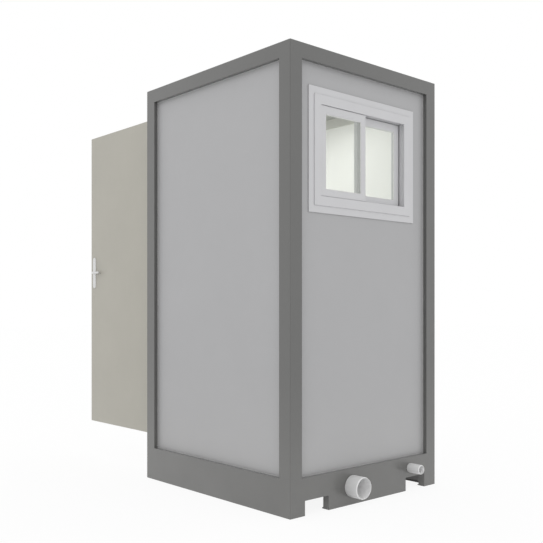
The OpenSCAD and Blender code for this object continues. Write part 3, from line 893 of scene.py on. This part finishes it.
# ---------------------------------------------------------------- hinges
HINGES = 3
KNUCKLE_H, KNUCKLE_R, KNUCKLE_EDGE = 60 * MM, 9 * MM, 1.4 * MM
KNUCKLE_GAP = 1 * MM  # between the fixed half and the moving half above it
PLATE_T, PLATE_W = 3 * MM, 50 * MM  # a hinge's flat plates
HINGE_SCREW_R, HINGE_SCREW_RISE = 3.4 * MM, 1.2 * MM
barrel = [(0, 0), (0, KNUCKLE_R - KNUCKLE_EDGE), (KNUCKLE_EDGE, KNUCKLE_R),
          (KNUCKLE_H - KNUCKLE_EDGE, KNUCKLE_R), (KNUCKLE_H, KNUCKLE_R - KNUCKLE_EDGE), (KNUCKLE_H, 0)]
hinge_lo, hinge_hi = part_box("frame_hinge_halves")
axis_x, axis_y = frame["joints"][0]["pos_m"][0], frame["joints"][0]["pos_m"][1]
first = hinge_lo.z + KNUCKLE_H
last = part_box("door_hinge_halves")[1].z - KNUCKLE_H - KNUCKLE_GAP
fixed_y, moving_x = jamb_r[0].y - PLATE_T, leaf_hi.x + PLATE_T
for part, body in (("frame", "cabin"), ("door", "door")):
    bm = bmesh.new()
    for i in range(HINGES):
        z = first + (last - first) * i / (HINGES - 1)
        low_z = z - KNUCKLE_H if part == "frame" else z + KNUCKLE_GAP
        turned(bm, barrel, (axis_x, axis_y, low_z), (0, 0, 1), (1, 0, 0))
        if part == "frame":
            box_into(bm, axis_x, hinge_hi.x, fixed_y, jamb_r[0].y, low_z, low_z + KNUCKLE_H)
            out, places = (0, -1, 0), [(hinge_hi.x - 7 * MM, fixed_y)]
        else:
            box_into(bm, leaf_hi.x, moving_x, axis_y - PLATE_W, axis_y, low_z, low_z + KNUCKLE_H)
            out, places = (1, 0, 0), [(moving_x, axis_y - 38 * MM), (moving_x, axis_y - 24 * MM)]
        for dz in (12 * MM, 48 * MM):
            for x, y in places:
                screw_head(bm, (x, y, low_z + dz), out, HINGE_SCREW_R, HINGE_SCREW_RISE)
    finish_piece(bm, "hinge_knuckles_" + part, body, [STEEL],
                 stands_for=[part + "_hinge_halves"])

# ---------------------------------------------------------------- lock backplates and levers
PLATE_STEPS = 64
PLATE_HOLE_R = 9.2 * MM  # around the lever's neck
BACKPLATE_SCREW = 92 * MM
lever_axis = Vector(frame["joints"][1]["pos_m"])
spin_y, spin_z = lever_axis.y, lever_axis.z
for node_name, out in (("backplate_outside", 1), ("backplate_inside", -1)):
    low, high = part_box(node_name)
    foot = low.x if out > 0 else high.x
    thick = high.x - low.x
    half_w, half_h = (high.y - low.y) / 2, (high.z - low.z) / 2
    bm = bmesh.new()
    layers = []
    for rise, inset in ((0, 0), (0.45, 0), (0.75, 0.9), (0.92, 2.4), (1.0, 5.0), (1.0, 9.0)):
        ring = []
        r = half_w - inset * MM
        for t in full_turn(PLATE_STEPS):
            y = math.cos(t) * r
            z = math.sin(t) * r + math.copysign(half_h - half_w, math.sin(t))
            ring.append(bm.verts.new((foot + out * thick * rise, spin_y + y, spin_z + z)))
        layers.append(ring)
    for rise in (1.0, 0.0):
        layers.append([bm.verts.new((foot + out * thick * rise, spin_y + math.cos(t) * PLATE_HOLE_R,
                                     spin_z + math.sin(t) * PLATE_HOLE_R)) for t in full_turn(PLATE_STEPS)])
    closed_band(bm, layers)
    for dz in (-BACKPLATE_SCREW, BACKPLATE_SCREW):
        screw_head(bm, (foot + out * thick, spin_y, spin_z + dz), (out, 0, 0), 4 * MM, 1 * MM)
    finish_piece(bm, "lock_" + node_name, "door", [HANDLE], smooth=40, stands_for=[node_name])

GRIP, STAND = 108 * MM, 26 * MM  # length of the lever, and its grip's distance off the leaf
BEND, TIP = 15 * MM, 4 * MM  # radius of the bend, length of the rounded end
collar = [(along * MM, radius * MM)
          for along, radius in ((0.3, 0), (0.3, 8.6), (6.3, 8.6), (6.3, 12), (8.5, 12), (9.5, 11), (10, 8.6),
                                (11, 7.8), (18, 7.6), (18, 0))]
for node_name, out in (("lever_outside", 1), ("lever_inside", -1)):
    foot = leaf_hi.x if out > 0 else leaf_lo.x
    bm = bmesh.new()
    turned(bm, collar, (foot, spin_y, spin_z), (out, 0, 0), (0, 0, 1))
    path, radii = [], []
    for s in range(13):  # the bend
        t = math.pi / 2 * s / 12
        off = STAND - BEND + BEND * math.sin(t)
        path.append((foot + out * off, spin_y + BEND - BEND * math.cos(t), spin_z))
        radii.append((7.4 * MM + 0.4 * MM * s / 12, 7.6 * MM + 0.4 * MM * s / 12))
    for s in range(1, 11):  # the grip, slimmer and a little swollen
        f = s / 10
        path.append((foot + out * STAND, spin_y + BEND + (GRIP - BEND - TIP) * f, spin_z))
        swell = math.sin(math.pi * f) * 0.3 * MM
        radii.append((7.8 * MM - 1.2 * MM * f, 7.7 * MM + swell))
    for s in range(1, 5):  # the rounded tip
        t = math.pi / 2 * s / 4
        path.append((foot + out * STAND, spin_y + GRIP - TIP + TIP * math.sin(t), spin_z))
        radii.append((max(6.6 * MM * math.cos(t), 0.2 * MM), max(7.7 * MM * math.cos(t), 0.2 * MM)))
    tube(bm, path, radii)
    finish_piece(bm, "handle_" + node_name, "lever", [HANDLE], smooth=50,
                 stands_for=[node_name])
END_GAP = 0.3 * MM  # the spindle stops this much short at each end, inside the collars
bar_lo, bar_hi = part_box("spindle")
bar = [(bar_lo.x + END_GAP, bar_hi.x - END_GAP, bar_lo.y, bar_hi.y, bar_lo.z, bar_hi.z)]
finish_piece(merged_boxes(bar, [], bar), "square_spindle", "lever", [STEEL],
             stands_for=["spindle"], bevel=(0.5 * MM, 2, "WEIGHT"))

# ---------------------------------------------------------------- floor, light and camera
FLOOR_REACH = 40.0  # from the middle to an edge
FLOOR_PALE = 0.97
GLOW_SHARE = 0.90  # how much of the floor's look is plain white to a viewer, the rest keeps the shadow
n = Nodes("studio_floor")
ground = n.add("ShaderNodeBsdfDiffuse")
ground.inputs["Color"].default_value = (FLOOR_PALE, FLOOR_PALE, FLOOR_PALE, 1)
glow = n.add("ShaderNodeEmission")
glow.inputs["Color"].default_value = (1, 1, 1, 1)
glow.inputs["Strength"].default_value = 1.0
ray = n.add("ShaderNodeLightPath").outputs
seen = n.math("MAXIMUM", ray["Is Camera Ray"], ray["Is Glossy Ray"])
seen = n.math("MAXIMUM", seen, ray["Is Transmission Ray"])
blend = n.add("ShaderNodeMixShader")
n.link(n.math("MULTIPLY", seen, GLOW_SHARE), blend.inputs["Fac"])
n.link(ground.outputs["BSDF"], blend.inputs[1])
n.link(glow.outputs["Emission"], blend.inputs[2])
n.link(blend.outputs["Shader"], n.out.inputs["Surface"])
bm = bmesh.new()
bm.faces.new([bm.verts.new((x * FLOOR_REACH, y * FLOOR_REACH, 0))
              for x, y in ((-1, -1), (1, -1), (1, 1), (-1, 1))])
mesh = bpy.data.meshes.new("studio_floor")
bm.to_mesh(mesh)
bm.free()
mesh.materials.append(n.material)
floor = bpy.data.objects.new("studio_floor", mesh)
scene.collection.objects.link(floor)

world = bpy.data.worlds.new("studio")
scene.world = world
world.use_nodes = True
tree = world.node_tree
tree.nodes.clear()
out = tree.nodes.new("ShaderNodeOutputWorld")
sky = tree.nodes.new("ShaderNodeBackground")
sky.inputs["Color"].default_value = (1, 1, 1, 1)
sky.inputs["Strength"].default_value = 1.0
tree.links.new(sky.outputs["Background"], out.inputs["Surface"])


def soft_lamp(name, place, target, size, power):
    """An area lamp turned to a target: size is a disc's diameter or a rectangle's (width, height)."""
    data = bpy.data.lights.new(name, "AREA")
    if isinstance(size, tuple):
        data.shape = "RECTANGLE"
        data.size, data.size_y = size
    else:
        data.shape = "DISK"
        data.size = size
    data.energy = power
    lamp = bpy.data.objects.new(name, data)
    scene.collection.objects.link(lamp)
    lamp.location = place
    lamp.rotation_mode = "QUATERNION"
    lamp.rotation_quaternion = (Vector(target) - Vector(place)).to_track_quat("-Z", "Y")
    lamp.visible_camera = False


# The first two stand in for the daylight that comes in through the doorway.
soft_lamp("inside_light", place=(0, MIDDLE_Y + 0.10, 2.40), target=(0, MIDDLE_Y + 0.10, 0),
          size=0.7, power=3.3)
soft_lamp("doorway_light", place=(0, FRONT + 0.10, 1.35), target=(0, REAR, 1.35),
          size=(0.9, 2.0), power=5.3)
soft_lamp("side_light", place=(HALF + 6, MIDDLE_Y, 1.2), target=(HALF, MIDDLE_Y, 1.1),
          size=4.0, power=9.0)

CAMERA_OFF = (2.8130, 2.9990)  # from the cabin's near corner, along X and Y
CAMERA_H = 1.1211
LOOKING = (-0.66649, -0.74551, 0)  # level, so that uprights stay upright
camera_data = bpy.data.cameras.new("camera")
camera = bpy.data.objects.new("camera", camera_data)
scene.collection.objects.link(camera)
camera_data.sensor_width = 36
camera_data.lens = 51.70
camera_data.shift_y = 0.0658
camera.location = (HALF + CAMERA_OFF[0], REAR + CAMERA_OFF[1], CAMERA_H)
camera.rotation_mode = "QUATERNION"
camera.rotation_quaternion = Vector(LOOKING).to_track_quat("-Z", "Y")
scene.camera = camera
scene.view_settings.view_transform = "Standard"
